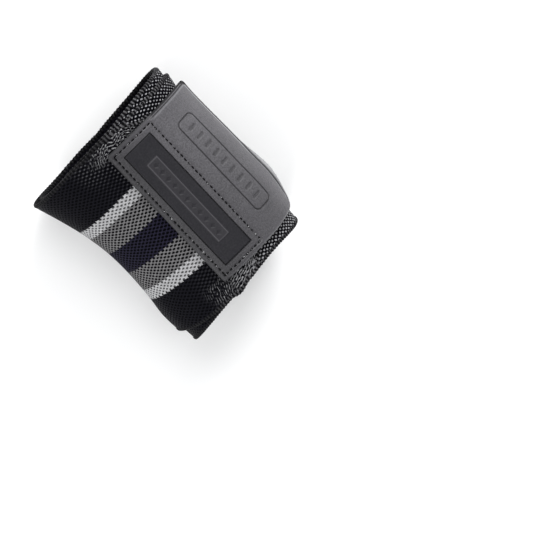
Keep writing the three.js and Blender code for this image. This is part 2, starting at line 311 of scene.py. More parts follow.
class PatchMap:
    """Lays flat points of the patch on the wound band."""

    def __init__(self):
        self.shift = frame_shift()
        sewn = winding_lift(band().turns) + layer_pitch()
        self.alongs = np.linspace(-0.05, 0.05, 101)
        self.arounds = np.arange(CROWN - 0.3, CROWN + 0.6, WALK_STEP)
        grid = surface_point(self.arounds[None, :], self.alongs[:, None], sewn)
        steps = np.linalg.norm(np.diff(grid, axis=1), axis=2)
        walked = np.concatenate([np.zeros((len(self.alongs), 1)), np.cumsum(steps, axis=1)], axis=1)
        crown = np.array([np.interp(CROWN, self.arounds, row) for row in walked])
        self.walked = walked - crown[:, None]

    def distance(self, along, around):
        """The walk from the crown to a place round the section."""
        row = int(np.argmin(np.abs(self.alongs - along)))
        return float(np.interp(around, self.arounds, self.walked[row]))

    def around(self, along, distance):
        """The place round the section that a walk from the crown reaches."""
        place = (along - self.alongs[0]) / (self.alongs[1] - self.alongs[0])
        row = np.clip(np.floor(place).astype(int), 0, len(self.alongs) - 2)
        found = np.empty_like(distance)
        for number in np.unique(row):
            here = row == number
            share = place[here] - number
            low = np.interp(distance[here], self.walked[number], self.arounds)
            high = np.interp(distance[here], self.walked[number + 1], self.arounds)
            found[here] = low * (1 - share) + high * share
        return found

    def place(self, reach, column, lift):
        slant = patch().slant
        across = column - patch().length / 2
        along = across * np.cos(slant) + reach * np.sin(slant) - patch().setback
        edge = patch().overhang + across * np.sin(slant) - hollow_section(along)[0]
        around = self.around(along, reach * np.cos(slant) - edge)
        turn = math.floor(band().turns) + 1 + np.mod(around - UNDERSIDE, 1.0)
        return surface_point(around, along, winding_lift(turn) + lift) + self.shift


# Mesh helpers

def points_of(obj):
    co = np.empty(len(obj.data.vertices) * 3)
    obj.data.vertices.foreach_get("co", co)
    return co.reshape(-1, 3)


def set_points(obj, co):
    obj.data.vertices.foreach_set("co", co.astype(np.float32).ravel())
    obj.data.update()


def pick(*objects):
    """Selects these objects alone and makes the last one active."""
    bpy.ops.object.select_all(action="DESELECT")
    for obj in objects:
        obj.select_set(True)
        bpy.context.view_layer.objects.active = obj


def edit(obj, *steps):
    """Runs edit-mode steps on all of a piece."""
    pick(obj)
    bpy.ops.object.mode_set(mode="EDIT")
    bpy.ops.mesh.select_all(action="SELECT")
    for step in steps:
        step()
    bpy.ops.object.mode_set(mode="OBJECT")


def face_outwards(obj):
    edit(obj, lambda: bpy.ops.mesh.normals_make_consistent(inside=False))


def flat_grid(name, xs, ys):
    """A grid primitive whose lines are moved to the given places."""
    pick()
    bpy.ops.mesh.primitive_grid_add(x_subdivisions=len(xs) - 1, y_subdivisions=len(ys) - 1, size=1)
    obj = bpy.context.object
    obj.name = obj.data.name = name
    co = points_of(obj)
    column = np.rint((co[:, 0] + 0.5) * (len(xs) - 1)).astype(int)
    row = np.rint((co[:, 1] + 0.5) * (len(ys) - 1)).astype(int)
    set_points(obj, np.column_stack([np.asarray(xs)[column], np.asarray(ys)[row], np.zeros(len(co))]))
    return obj


def flat_sheet(name, xs, ys, thickness):
    """A closed flat sheet from z = 0 to its thickness."""
    obj = flat_grid(name, xs, ys)
    edit(obj, lambda: bpy.ops.mesh.extrude_region_move(
        TRANSFORM_OT_translate={"value": (0, 0, thickness)}))
    face_outwards(obj)
    return obj


def lay(obj, laid):
    """Moves a flat piece to its laid points. That turns its faces inside out, so they are flipped."""
    set_points(obj, laid)
    edit(obj, bpy.ops.mesh.flip_normals)


def put_attribute(obj, name, *columns):
    """Keeps one column of numbers, or three as a vector, at a piece's points."""
    kind, field = ("FLOAT", "value") if len(columns) == 1 else ("FLOAT_VECTOR", "vector")
    attribute = obj.data.attributes.new(name, kind, "POINT")
    attribute.data.foreach_set(field, np.column_stack(columns).astype(np.float32).ravel())


def thicken(obj, thickness):
    """Gives a skin its wall, inwards."""
    pick(obj)
    wall = obj.modifiers.new("Wall", "SOLIDIFY")
    wall.thickness, wall.offset = thickness, -1.0
    bpy.ops.object.modifier_apply(modifier=wall.name)


def smooth_faces(obj, degrees):
    pick(obj)
    bpy.ops.object.shade_smooth_by_angle(angle=math.radians(degrees))


def finish_piece(obj, material, slot, *nodes):
    obj.data.materials.clear()
    obj.data.materials.append(material)
    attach(obj, "root")
    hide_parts(*nodes)


def grid_lines(total, zones, coarse):
    """Lines from 0 to a total, with fine steps in the zones (start, end, step)."""
    marks = {0.0, total}
    for start, end, step in zones:
        start, end = max(start, 0.0), min(end, total)
        cells = max(1, round((end - start) / step))
        marks.update(np.linspace(start, end, cells + 1).tolist())
    lines = [0.0]
    for mark in sorted(marks)[1:]:
        if mark - lines[-1] < 2e-5:
            continue
        cells = math.ceil((mark - lines[-1]) / coarse - 1e-6)
        lines.extend(np.linspace(lines[-1], mark, cells + 1)[1:].tolist())
    return np.array(lines)


def both_ends(total, *zones):
    """Zones near 0, and the same ones mirrored near the total."""
    return [*zones, *((total - end, total - start, step) for start, end, step in zones)]


# Materials

def unary(operation):
    return lambda self: self.maths(operation, self)


def binary(operation):
    return lambda self, other: self.maths(operation, self, other)


class Value:
    """A node socket that can be used in an expression, which adds its Math nodes."""

    def __init__(self, tree, socket):
        self.tree = tree
        self.socket = socket

    def maths(self, operation, *values):
        return add_node(self.tree, "ShaderNodeMath", {"operation": operation}, dict(enumerate(values)))

    def __rsub__(self, other):
        return self.maths("SUBTRACT", other, self)

    __add__ = __radd__ = binary("ADD")
    __sub__ = binary("SUBTRACT")
    __mul__ = __rmul__ = binary("MULTIPLY")
    __truediv__ = binary("DIVIDE")
    __lt__ = binary("LESS_THAN")
    __gt__ = binary("GREATER_THAN")
    __abs__ = unary("ABSOLUTE")
    wrap = binary("FLOORED_MODULO")
    floor = unary("FLOOR")
    cosine = unary("COSINE")
    root = unary("SQRT")

    def step(self, low, high):
        """0 at low and 1 at high, smooth between; low may be above high."""
        return add_node(
            self.tree, "ShaderNodeMapRange", {"interpolation_type": "SMOOTHSTEP"},
            {"Value": self, "From Min": low, "From Max": high})


def add_node(tree, kind, settings=None, inputs=None, output=0):
    """Adds a node, sets it up, fills its sockets and gives one of its outputs."""
    node = tree.nodes.new(kind)
    for key, value in (settings or {}).items():
        setattr(node, key, value)
    for key, value in (inputs or {}).items():
        if isinstance(value, Value):
            tree.links.new(value.socket, node.inputs[key])
        else:
            node.inputs[key].default_value = value
    return Value(tree, node.outputs[output])


class Finish:
    """A material with one Principled shader, whose fixed values are set on its own sockets."""

    def __init__(self, name, fixed):
        self.material = bpy.data.materials.new(name)
        self.material.use_nodes = True
        self.tree = self.material.node_tree
        self.shader = self.tree.nodes["Principled BSDF"]
        for key, value in fixed.items():
            self.shader.inputs[key].default_value = value

    def node(self, kind, settings=None, inputs=None, output=0):
        return add_node(self.tree, kind, settings, inputs, output)

    def made(self, base_color, roughness=None, normal=None):
        """Feeds the shader what varies over the surface and gives the material."""
        for socket, value in (("Base Color", base_color), ("Roughness", roughness), ("Normal", normal)):
            if value is not None:
                self.tree.links.new(value.socket, self.shader.inputs[socket])
        return self.material

    def place(self):
        return self.node("ShaderNodeTexCoord", output="Object")

    def attribute(self, name, output="Fac"):
        return self.node("ShaderNodeAttribute", {"attribute_name": name}, output=output)

    def split(self, vector):
        return [self.node("ShaderNodeSeparateXYZ", None, {0: vector}, axis) for axis in range(3)]

    def noise(self, scale, detail):
        return self.node("ShaderNodeTexNoise", None,
                         {"Vector": self.place(), "Scale": scale, "Detail": detail})

    def mix(self, share, first, second):
        """A colour between two colours."""
        def full(value):
            return value if isinstance(value, Value) else (*value[:3], 1.0)
        return self.node("ShaderNodeMix", {"data_type": "RGBA"},
                         {0: share, 6: full(first), 7: full(second)}, 2)

    def bump(self, height, distance, strength):
        inputs = {"Height": height, "Distance": distance, "Strength": strength}
        return self.node("ShaderNodeBump", None, inputs)


def knit_finish():
    """Knitted elastic: staggered rows of small holes, in stripes with toothed borders."""
    size = band()
    finish = Finish("knitted elastic", {"Specular IOR Level": 0.03})
    distance, across, glint_and_waver = finish.split(finish.attribute("wound", "Vector"))
    gathered = finish.attribute("gathered")
    crumple = finish.noise(900.0, 1.0) - 0.5
    loose = glint_and_waver * 0.65 + 0.5
    waver = (finish.noise(330.0, 2.0) - 0.5) * loose
    row_place = distance / size.row_pitch + crumple * gathered * 3.2 + waver * 0.9
    column_place = across / size.column_pitch + crumple * gathered * 1.6 + waver * 0.5 + 0.5
    row = row_place.floor()
    brick = column_place + row.wrap(2.0) * 0.5
    row_off = row_place - row - 0.5
    column_off = brick - brick.floor() - 0.5
    tooth = (1 - (row_place * 0.5).wrap(1.0)) * 0.5
    stripe = abs((column_place + tooth).floor())
    is_light = stripe < LIGHT_BORDER
    is_grey = stripe < GREY_BORDER
    is_navy = stripe < NAVY_BORDER
    # Holes are longest along the band, and wider in the mid grey stripes than in the light ones.
    open_share = is_grey * 0.085 - is_light * (1 - is_grey) * 0.03 + 0.39
    oval = ((row_off * row_off) * 1.05 + (column_off * column_off) * 4.2).root()
    fibre = finish.noise(4200.0, 3.0)
    hole = (oval + (fibre - 0.5) * 0.12 - open_share).step(0.10, -0.09)
    loop = (oval - open_share).step(-0.02, 0.22)
    yarn = finish.mix(is_light, size.black, size.light)
    yarn = finish.mix(is_grey, yarn, size.grey)
    yarn = finish.mix(is_navy, yarn, size.navy)
    blotch = finish.noise(1250.0, 1.0)
    shade = fibre * 0.40 + loop * 0.45 + blotch * 1.10
    yarn = finish.node("ShaderNodeVectorMath", {"operation": "SCALE"}, {0: yarn, "Scale": shade})
    # Over the top, painted glints show as small pale flecks between the holes.
    fleck_row = row_place.wrap(1.0) - 0.5
    fleck_column = (brick + 0.5).wrap(1.0) - 0.5
    glint_fleck = ((fleck_row * fleck_row) * 5.0 + (fleck_column * fleck_column) * 11.0).root()
    glint_fleck = (glint_fleck - (across > 0) * 0.18).step(0.78, 0.40) * glint_and_waver * (1 - is_light)
    glint_fleck = glint_fleck * (1 - gathered * 0.5) * (0.4 + fibre * 1.2) * (0.35 + blotch * 1.3)
    yarn = finish.mix(glint_fleck, yarn, (0.34, 0.34, 0.355))
    pit = finish.mix(is_light * (1 - is_grey), (0.0014, 0.0014, 0.0020), (0.06, 0.06, 0.06))
    skin = finish.mix(hole * (1 - gathered * 0.8), yarn, pit)
    # In the gathers, painted glints stand as short pale strands across the folds.
    warp = finish.noise(210.0, 1.0) - 0.5
    strand_place = distance / STRAND_PITCH + warp * 2.6 + across / (2 * STRAND_PITCH)
    strand = (strand_place * math.tau).cosine().step(0.35, 0.9)
    strand = strand * finish.noise(700.0, 1.0).step(0.42, 0.60)
    wide_end = across < 0
    pair = across / STRAND_PITCH + distance / 0.0045 + warp * (1.5 + wide_end * 2.4)
    link_place = distance * (345.0 + wide_end * 320.0) + (pair * 0.5).floor() * 0.5 + warp
    link = ((link_place * math.tau).cosine() - wide_end * 0.5).step(-0.75, -0.3)
    loops = (pair * math.tau).cosine().step(0.15, 0.8) * link
    beside = glint_and_waver.step(0.12, 0.35)
    gleam = (strand * (1 - beside) * 0.6 + loops * beside * (0.25 + fibre * 1.3)) * gathered * gathered
    height = loop * 0.6 + fibre * 0.22 - hole * 0.6 + glint_fleck * 0.25 + gleam * 0.8
    return finish.made(finish.mix(gleam, skin, (0.40, 0.40, 0.41)),
                       0.50 + hole * 0.4 + fibre * 0.14 - glint_fleck * 0.12,
                       finish.bump(height, 0.00035, 0.9))


def rim_finish():
    """The band's rim: yarn laid in ribs across the edge, with painted glints on the rib crests, strongest
    over the top.
    """
    size = band()
    finish = Finish("ribbed rim", {"Specular IOR Level": 0.05})
    distance, around, glint_and_waver = finish.split(finish.attribute("wound", "Vector"))
    fibre = finish.noise(3800.0, 3.0)
    waver = finish.noise(420.0, 2.0)
    rib = (distance * (math.tau / size.rib_pitch) + (waver - 0.5) * 5.0).cosine()
    strand = (around * 5.0 + rib * 0.4).cosine()
    crest = rib.step(-0.1, 0.8)
    crest_glint = crest * (0.14 + glint_and_waver * 0.86) * (0.1 + fibre) * (0.4 + waver * 1.2)
    return finish.made(finish.mix(crest_glint, (0.0022, 0.0022, 0.0028), (0.12, 0.118, 0.125)),
                       0.62 - crest * 0.15 + fibre * 0.12,
                       finish.bump(strand * 0.25 + fibre * 0.4, 0.0002, 0.7))


def leather_finish():
    """Rubbery leather with a very fine grain, with painted highlights along its edges and painted shade in
    its grooves.
    """
    size = patch()
    finish = Finish("patch leather", {"Specular IOR Level": 0.42})
    grain = finish.noise(5200.0, 4.0)
    pebble = finish.noise(1500.0, 2.0)
    cloud = finish.noise(90.0, 3.0)
    painted_highlight_and_plate = finish.attribute("painted_highlight_and_plate")
    painted_shade = finish.attribute("painted_shade")
    speckle = cloud.step(0.35, 0.7) * 0.25 + grain * 0.2 + pebble.step(0.35, 0.65) * 0.8
    base = finish.mix(speckle, size.leather, [channel * 1.6 for channel in size.leather])
    # Painted shade: the leather is darker towards its sewn edge and, short of its far edge, towards its
    # hand end.
    base = finish.mix(finish.attribute("free") * 0.70 + 0.30, (0.004, 0.004, 0.005), base)
    # Painted highlights: pale lines along the edges and beside the groove, and a paler far lip.
    base = finish.mix(painted_highlight_and_plate * 0.4, base, (0.16, 0.16, 0.17))
    base = finish.mix(painted_highlight_and_plate - 1, base, (0.27, 0.27, 0.28))
    # Painted shade: dark in the grooves, the motif's frame and bars, the walls and along some edges.
    return finish.made(finish.mix(painted_shade * 0.85, base, (0.008, 0.008, 0.009)),
                       0.37 + grain * 0.10 + cloud * 0.08 - painted_highlight_and_plate * 0.06 + painted_shade * 0.40,
                       finish.bump(grain * 0.4 + pebble, 0.00020, 0.9))


def panel_finish():
    """The smooth dark panel, its slightly paler plate, and a painted highlight round the plate's edge."""
    size = patch()
    finish = Finish("panel leather", {"Specular IOR Level": 0.26})
    grain = finish.noise(1700.0, 3.0)
    cloud = finish.noise(120.0, 2.0)
    raised = finish.attribute("painted_highlight_and_plate")
    base = finish.mix(raised, size.panel, size.plate)
    base = finish.mix(grain.step(0.35, 0.75) * 0.16 + cloud * 0.1, base, (0.05, 0.049, 0.055))
    # A painted highlight round the plate's edge.
    base = finish.mix(raised - 1, base, (0.052, 0.050, 0.056))
    return finish.made(base, 0.5 + grain * 0.12, finish.bump(grain, 0.00005, 0.5))


def thread_finish():
    """Twisted sewing thread."""
    finish = Finish("sewing thread", {"Roughness": 0.6, "Specular IOR Level": 0.06})
    twist = finish.node("ShaderNodeTexWave", {"bands_direction": "DIAGONAL"},
                        {"Vector": finish.place(), "Scale": 700.0, "Distortion": 0.5}, 1)
    gleam = finish.noise(800.0, 2.0).step(0.60, 0.65)
    return finish.made(finish.mix(gleam * twist, patch().sewing, (0.42, 0.42, 0.43)),
                       normal=finish.bump(twist, 0.0001, 0.6))


def hook_finish():
    """Hook tape: rows of small hooks on a woven ground."""
    finish = Finish("hook tape", {"Roughness": 0.7, "Sheen Weight": 0.1})
    fibre = finish.noise(3000.0, 2.0)
    return finish.made(finish.mix(fibre, (0.004, 0.004, 0.005), (0.02, 0.02, 0.022)),
                       normal=finish.bump(fibre, 0.0002, 0.7))


# Pieces

def gather_share(turn, across):
    """1 where the band is crumpled beside the patch, 0 elsewhere."""
    along_band = np.where(across < 0, smoothstep(2.435, 2.472, turn), smoothstep(2.40, 2.455, turn))
    inner = np.where(across < 0, 0.0305, 0.0285)
    return along_band * smoothstep(inner, inner + 0.0035, np.abs(across))


def glint_and_waver_share(turn):
    """1 over the top, where glints are painted on the yarn and its knit pattern wavers more; 0 on the
    underside.
    """
    around = np.mod(UNDERSIDE + turn, 1.0)
    over_top = 0.03 * smoothstep(0.15, 0.20, around) + 0.97 * smoothstep(0.205, 0.285, around)
    near_side = smoothstep(0.08, 0.03, around) + smoothstep(0.88, 0.96, around)
    return over_top * (1 - smoothstep(0.52, 0.60, around)) + 0.07 * near_side


def rim_glint_and_waver_share(turn, across):
    """A little more painted glint and knit waver along the two edges, short of the gathers."""
    around = np.mod(UNDERSIDE + turn, 1.0)
    near = smoothstep(0.155, 0.190, around) * smoothstep(0.24, 0.20, around)
    return near * smoothstep(0.025, 0.035, np.abs(across)) * np.where(across < 0, 0.14, 0.03)


class WRAP_OT_band(bpy.types.Operator):
    """Winds the knitted band into a tube, with its gathers beside the patch"""

    bl_idname = "mesh.wrap_band"
    bl_label = "Elastic band"

    coarse: length("Coarse step", "Step along the plain part of the band", 0.0013)
    fine: length("Fine step", "Step along the gathered part of the band", 0.00036)

    def execute(self, context):
        size = band()
        turns, lengths = band_lengths()
        gather_start = np.interp(FINE_FROM, turns, lengths)
        plain = np.linspace(0, gather_start, round(gather_start / self.coarse) + 1)
        left = lengths[-1] - gather_start
        gathered = np.linspace(gather_start, lengths[-1], round(left / self.fine) + 1)[1:]
        xs = np.concatenate([plain, gathered])
        half = size.width / 2 - size.rim_width / 2
        side = np.linspace(PLAIN_HALF, half, 20)
        ys = np.concatenate([-side[::-1], np.linspace(-PLAIN_HALF, PLAIN_HALF, 24)[1:-1], side])
        obj = flat_grid("elastic_band_knit", xs, ys)
        walked, across = points_of(obj)[:, :2].T
        turn = np.interp(walked, lengths, turns)
        share = gather_share(turn, across)
        ridges = np.sin(math.tau * walked / 0.0027 + 1.6 * np.sin(across / 0.0023))
        ridges = ridges + 0.6 * np.sin(math.tau * walked / 0.0041 - across / 0.0012)
        drop = share * size.gather_depth * (ridges * 0.6 - 0.5)
        swell = SOFT_SWELL * np.sin(math.tau * walked / 0.031 + across / 0.009)
        # Where glints are painted on the yarn, and where its knit pattern wavers more.
        glint_and_waver = np.minimum(glint_and_waver_share(turn) + rim_glint_and_waver_share(turn, across), 1)
        put_attribute(obj, "wound", walked, across - size.stripe_shift, glint_and_waver)
        put_attribute(obj, "gathered", share)
        lift = size.thickness + drop + swell * (1 - share) - SOFT_SWELL
        lay(obj, band_point(turn, across, lift) + frame_shift())
        thicken(obj, size.thickness - 0.0003)
        smooth_faces(obj, 40)
        finish_piece(obj, knit_finish(), "knit", "elastic_band")
        return {"FINISHED"}


class WRAP_OT_rims(bpy.types.Operator):
    """Rolls the two ribbed rims along the band's edges"""

    bl_idname = "mesh.wrap_rims"
    bl_label = "Ribbed rims"

    steps: bpy.props.IntProperty(name="Steps", description="Stations in each rib", default=6, min=4)
    sides: bpy.props.IntProperty(name="Sides", description="Points round a rim", default=12, min=6)

    def execute(self, context):
        size = band()
        turns, lengths = band_lengths()
        shift = frame_shift()
        count = round(lengths[-1] / size.rib_pitch * self.steps)
        material = rim_finish()
        for name, sign in (("rim_forearm", -1), ("rim_hand", 1)):
            stations = np.linspace(0, lengths[-1], count + 1)
            obj = flat_grid(name, stations, np.linspace(0, math.tau, self.sides + 1))
            walked, angle = points_of(obj)[:, :2].T
            turn = np.interp(walked, lengths, turns)
            gathered = gather_share(turn, sign * size.width / 2)
            rib = np.cos(math.tau * walked / size.rib_pitch + 0.5 * np.sin(angle))
            uneven = 0.05 * np.sin(walked / 0.0037) + 0.04 * np.sin(walked / 0.0013)
            swell = 0.93 + 0.13 * rib + uneven * (0.4 + gathered)
            wander = 0.0002 * np.sin(walked / 0.0051) + gathered * 0.0005 * np.sin(walked / 0.0019)
            middle = size.width / 2 - size.rim_width / 2
            across = sign * (middle + wander) + size.rim_width / 2 * np.cos(angle) * swell
            lift = size.thickness / 2 + size.rim_height / 2 * np.sin(angle) * swell
            # Shares of painted glints on the rim's rib crests, over the top and in the gathers.
            glint_over_top, glint_in_gathers = (1.0, 0.0) if sign < 0 else (0.5, 0.6)
            glint_and_waver = glint_and_waver_share(turn) ** 2.5 * glint_over_top + gathered * glint_in_gathers
            put_attribute(obj, "wound", walked, angle, glint_and_waver)
            laid = band_point(turn, across, lift) + shift
            laid[:, 2] = np.maximum(laid[:, 2], 0.0)
            set_points(obj, laid)
            edit(obj, lambda: bpy.ops.mesh.remove_doubles(threshold=1e-6),
                 lambda: bpy.ops.mesh.fill_holes(sides=0))
            face_outwards(obj)
            smooth_faces(obj, 60)
            finish_piece(obj, material, "knit")
        return {"FINISHED"}


def drawn_length(reach):
    """Length of the patch along the tube, a little less towards its large round corner."""
    return patch().length - 0.0010 * smoothstep(0.028, 0.048, reach)


def corner_radius(reach, free_corner):
    return np.where(reach < patch().reach / 2, SEWN_CORNER, free_corner)


def inside_corner(reach, column):
    """Distance inwards from the patch's outline, which has round corners."""
    size = patch()
    from_reach = np.minimum(reach, size.reach - reach)
    from_column = np.minimum(column, drawn_length(reach) - column)
    radius = corner_radius(reach, np.where(column < size.length / 2, *FREE_CORNERS))
    cornered = (from_reach < radius) & (from_column < radius)
    round_distance = radius - np.hypot(radius - from_reach, radius - from_column)
    return np.where(cornered, round_distance, np.minimum(from_reach, from_column))


def round_outline(reach, column):
    """Draws the patch's columns in towards its round corners."""
    size = patch()
    insets = []
    for free_corner in FREE_CORNERS:
        radius = corner_radius(reach, free_corner)
        edge = np.minimum(np.minimum(reach, size.reach - reach), radius)
        insets.append(radius - np.sqrt(np.maximum(radius**2 - (radius - edge) ** 2, 0)))
    share = column / size.length
    return share * drawn_length(reach) + insets[0] * (1 - share) - insets[1] * share


def inside_box(reach, column, centre, half, radius=0.0):
    """Distance inwards from a box with round corners."""
    from_reach = np.abs(reach - centre[0]) - half[0] + radius
    from_column = np.abs(column - centre[1]) - half[1] + radius
    outside = np.hypot(np.maximum(from_reach, 0), np.maximum(from_column, 0))
    return radius - outside - np.minimum(np.maximum(from_reach, from_column), 0)


def line_dip(distance, width, depth):
    """A rounded groove along the line where a distance is 0."""
    return depth * np.sqrt(np.maximum(0, 1 - (distance / (width / 2)) ** 2))


def patch_relief(reach, column):
    """Height of the patch's upper face, its painted highlights and painted shade, and a share that paints
    it darker towards its sewn edge and hand end.
    """
    size = patch()
    edge = inside_corner(reach, column)
    middle = size.length / 2
    free = smoothstep(size.sewn_reach, size.sewn_reach + 0.003, reach)
    # The far edge curls up a little, and a painted highlight makes its lip pale beyond its groove.
    curl = np.sin(np.pi * np.clip((column - 0.034) / 0.030, 0, 1))
    from_far = size.reach - reach
    far = smoothstep(0.0045, 0.003, from_far)
    lip = 0.0013 + 0.0015 * curl * far
    plain_end = smoothstep(size.length - 0.0055, size.length - 0.0035, column)
    grooved = free * (1 - plain_end)
    curled = 0.0010 * curl * smoothstep(lip + 0.0014, 0.0, from_far)
    within = np.maximum(EDGE_ROUNDING - edge, 0)
    fall = EDGE_ROUNDING - np.sqrt(np.maximum(EDGE_ROUNDING**2 - within**2, 0))
    fall = fall * (1 - 0.8 * curl * far)
    groove_dip = line_dip(edge - lip, 0.0006 + 0.0009 * far, GROOVE_DEPTH) * grooved
    panel_reach = size.panel_margin + size.panel_width / 2
    panel_half = (size.panel_width / 2, size.panel_length / 2)
    panel = inside_box(reach, column, (panel_reach, middle), panel_half)
    recess = RECESS_DEPTH * np.clip(panel / RECESS_WALL + 1, 0, 1)
    sewn_centre = ((size.sewn_margin + size.sewn_reach) / 2, middle)
    sewn_half = ((size.sewn_reach - size.sewn_margin) / 2, middle - size.sewn_margin)
    channel = line_dip(inside_box(reach, column, sewn_centre, sewn_half), 0.0011, SEAM_DEPTH)
    motif = inside_box(reach, column, (MOTIF_REACH, middle), (0.0048, 0.0235), 0.0024)
    frame_line = line_dip(motif, 0.0007, FRAME_DEPTH)
    bars = 0.0
    for number in range(-4, 5):
        centre = (MOTIF_REACH, middle + number * BAR_PITCH)
        bar = inside_box(reach, column, centre, (0.0023, 0.0008), 0.0007)
        bars = bars + BAR_DEPTH * smoothstep(-0.0001, 0.00035, bar)
    # Painted shade in the groove, the frame line and the bars.
    painted_shade = groove_dip / GROOVE_DEPTH * (1 + 0.6 * far)
    painted_shade = painted_shade + frame_line / FRAME_DEPTH * 0.9 + bars / BAR_DEPTH * 0.45
    height = size.thickness - fall - groove_dip - recess - channel - frame_line - bars + curled
    # Painted highlights: a pale line at the edge, one beside the groove and a pale lip at the far edge.
    beside = smoothstep(0.0006 + 0.0004 * far, 0.0002, np.abs(edge - lip - 0.0007 - 0.0010 * far)) * grooved
    painted_highlight_and_plate = smoothstep(0.0009, 0.0002, edge) * (1 - grooved + 0.25 * plain_end * free)
    painted_highlight_and_plate = painted_highlight_and_plate * np.where(column > middle, 1.0, 0.4) * (0.4 + 0.6 * smoothstep(0.001, 0.01, reach))
    painted_highlight_and_plate = np.maximum(painted_highlight_and_plate, beside * (1.15 + 0.65 * far))
    painted_highlight_and_plate = painted_highlight_and_plate + 2.0 * np.sqrt(curl) * far * smoothstep(lip - 0.0001, lip - 0.0004, edge)
    # Painted shadow along the edge at the wide end and beyond the groove at the far corners, and on the
    # sewn part along its edge at the wide end and its sewn edge.
    edge_shadow = np.maximum(far * (1 - curl) ** 8 * smoothstep(lip, lip - 0.0003, edge) * 0.7,
                        1.15 * smoothstep(0.0009, 0.0005, edge) * (column < middle))
    sewn_edge_shadow = 0.75 * smoothstep(0.0008, 0.0003, edge) * (1 - free) * ((column < middle) | (reach < 0.003))
    painted_shade = np.maximum(np.clip(painted_shade, 0, 1), np.maximum(edge_shadow * grooved, sewn_edge_shadow))
    # Towards the wide end the edge beyond the groove is thin.
    thin = 0.0009 * smoothstep(lip - 0.0001, lip - 0.0005, edge) * (column < middle) * grooved * (1 - far)
    height = height - thin
    # Painted shade: darker towards the hand end short of the far edge, and towards the sewn edge.
    pale = 1 - 0.42 * smoothstep(0.006, 0.050, column) * smoothstep(0.048, 0.034, reach)
    return height, painted_highlight_and_plate, painted_shade, smoothstep(-0.004, 0.030, reach) * pale


class WRAP_OT_patch(bpy.types.Operator):
    """Moulds the leather patch flat, with its lip, groove and recess, and lays it on the band"""

    bl_idname = "mesh.wrap_patch"
    bl_label = "Closure patch"

    def execute(self, context):
        size = patch()
        end = size.panel_margin + size.panel_width
        edge = (size.length - size.panel_length) / 2
        rows = grid_lines(size.reach, [
            (0, 0.0008, 0.00016),
            (0.0008, 0.0028, 0.00014),
            (size.panel_margin - RECESS_WALL, size.panel_margin, RECESS_WALL),
            (end, end + RECESS_WALL, RECESS_WALL),
            (size.sewn_reach - 0.0007, size.sewn_reach + 0.0007, 0.00025),
            (MOTIF_REACH - 0.0060, MOTIF_REACH + 0.0060, 0.00027),
            (size.reach - 0.0062, size.reach - 0.0007, 0.00019),
            (size.reach - 0.0007, size.reach, 0.00014)], 0.0011)
        ends = both_ends(size.length, (0, 0.0008, 0.00016), (0.0008, 0.003, 0.00014),
                         (edge - RECESS_WALL, edge, RECESS_WALL))
        columns = grid_lines(size.length, [*ends, (0.0095, size.length - 0.0095, 0.0003)], 0.0009)
        obj = flat_sheet("closure_patch_leather", rows, columns, size.thickness)
        reach, column, level = points_of(obj).T
        top = level > size.thickness / 2
        column = round_outline(reach, column)
        height, painted_highlight_and_plate, painted_shade, free = patch_relief(reach, column)
        put_attribute(obj, "painted_highlight_and_plate", np.where(top, painted_highlight_and_plate, 0))
        # The walls and the underside are painted in full shade.
        put_attribute(obj, "painted_shade", np.where(top, painted_shade, 1.15))
        # The free attribute carries painted shade, darker towards the sewn edge and the hand end.
        put_attribute(obj, "free", free)
        lay(obj, PatchMap().place(reach, column, np.where(top, height, 0)))
        smooth_faces(obj, 35)
        finish_piece(obj, leather_finish(), "patch_leather", "closure_patch")
        return {"FINISHED"}


class WRAP_OT_panel(bpy.types.Operator):
    """Lays the dark panel in the patch's recess, with its raised plate"""

    bl_idname = "mesh.wrap_panel"
    bl_label = "Inset panel"

    def execute(self, context):
        size = patch()
        width, long = size.panel_width - 2 * PANEL_GAP, size.panel_length - 2 * PANEL_GAP
        centre = (width / 2, long / 2)
        edge_zone = (0, 0.0004, 0.0001)
        rows = grid_lines(width, [*both_ends(width, edge_zone),
                                  (width / 2 - 0.0031, width / 2 + 0.0031, 0.0002)], 0.0009)
        columns = grid_lines(long, [*both_ends(long, edge_zone),
                                    (long / 2 - 0.0213, long / 2 + 0.0213, 0.00026)], 0.0012)
        obj = flat_sheet("inset_panel_leather", rows, columns, size.panel_thickness)
        reach, column, level = points_of(obj).T
        top = level > size.panel_thickness / 2
        edge = inside_box(reach, column, centre, centre)
        plate = inside_box(reach, column, centre, (0.00265, 0.02075), 0.0003)
        raised = smoothstep(-0.00012, 0.00014, plate)
        lozenges = 0.0
        for number in range(-5, 6):
            off_reach = np.abs(reach - centre[0]) / 0.0015
            off_column = np.abs(column - centre[1] - number * LOZENGE_PITCH) / 0.0012
            lozenges = lozenges + smoothstep(0.0, 0.35, 1 - off_reach - off_column)
        height = size.panel_thickness + 0.00026 * raised - LOZENGE_DEPTH * lozenges
        height = height - 0.00025 * smoothstep(0.0003, 0.0, edge)
        # A painted highlight rings the plate's edge.
        plate_edge_highlight = smoothstep(0.00035, 0.00015, np.abs(plate - 0.0002))
        raised = raised * (1 - 0.6 * np.clip(lozenges, 0, 1)) + plate_edge_highlight
        put_attribute(obj, "painted_highlight_and_plate", np.where(top, raised, 0))
        reach = reach + (size.panel_margin + PANEL_GAP)
        column = column + (size.length - long) / 2
        floor = size.thickness - 0.0002 - size.panel_thickness
        lay(obj, PatchMap().place(reach, column, np.where(top, height, 0) + floor))
        smooth_faces(obj, 35)
        finish_piece(obj, panel_finish(), "panel", "inset_panel")
        return {"FINISHED"}


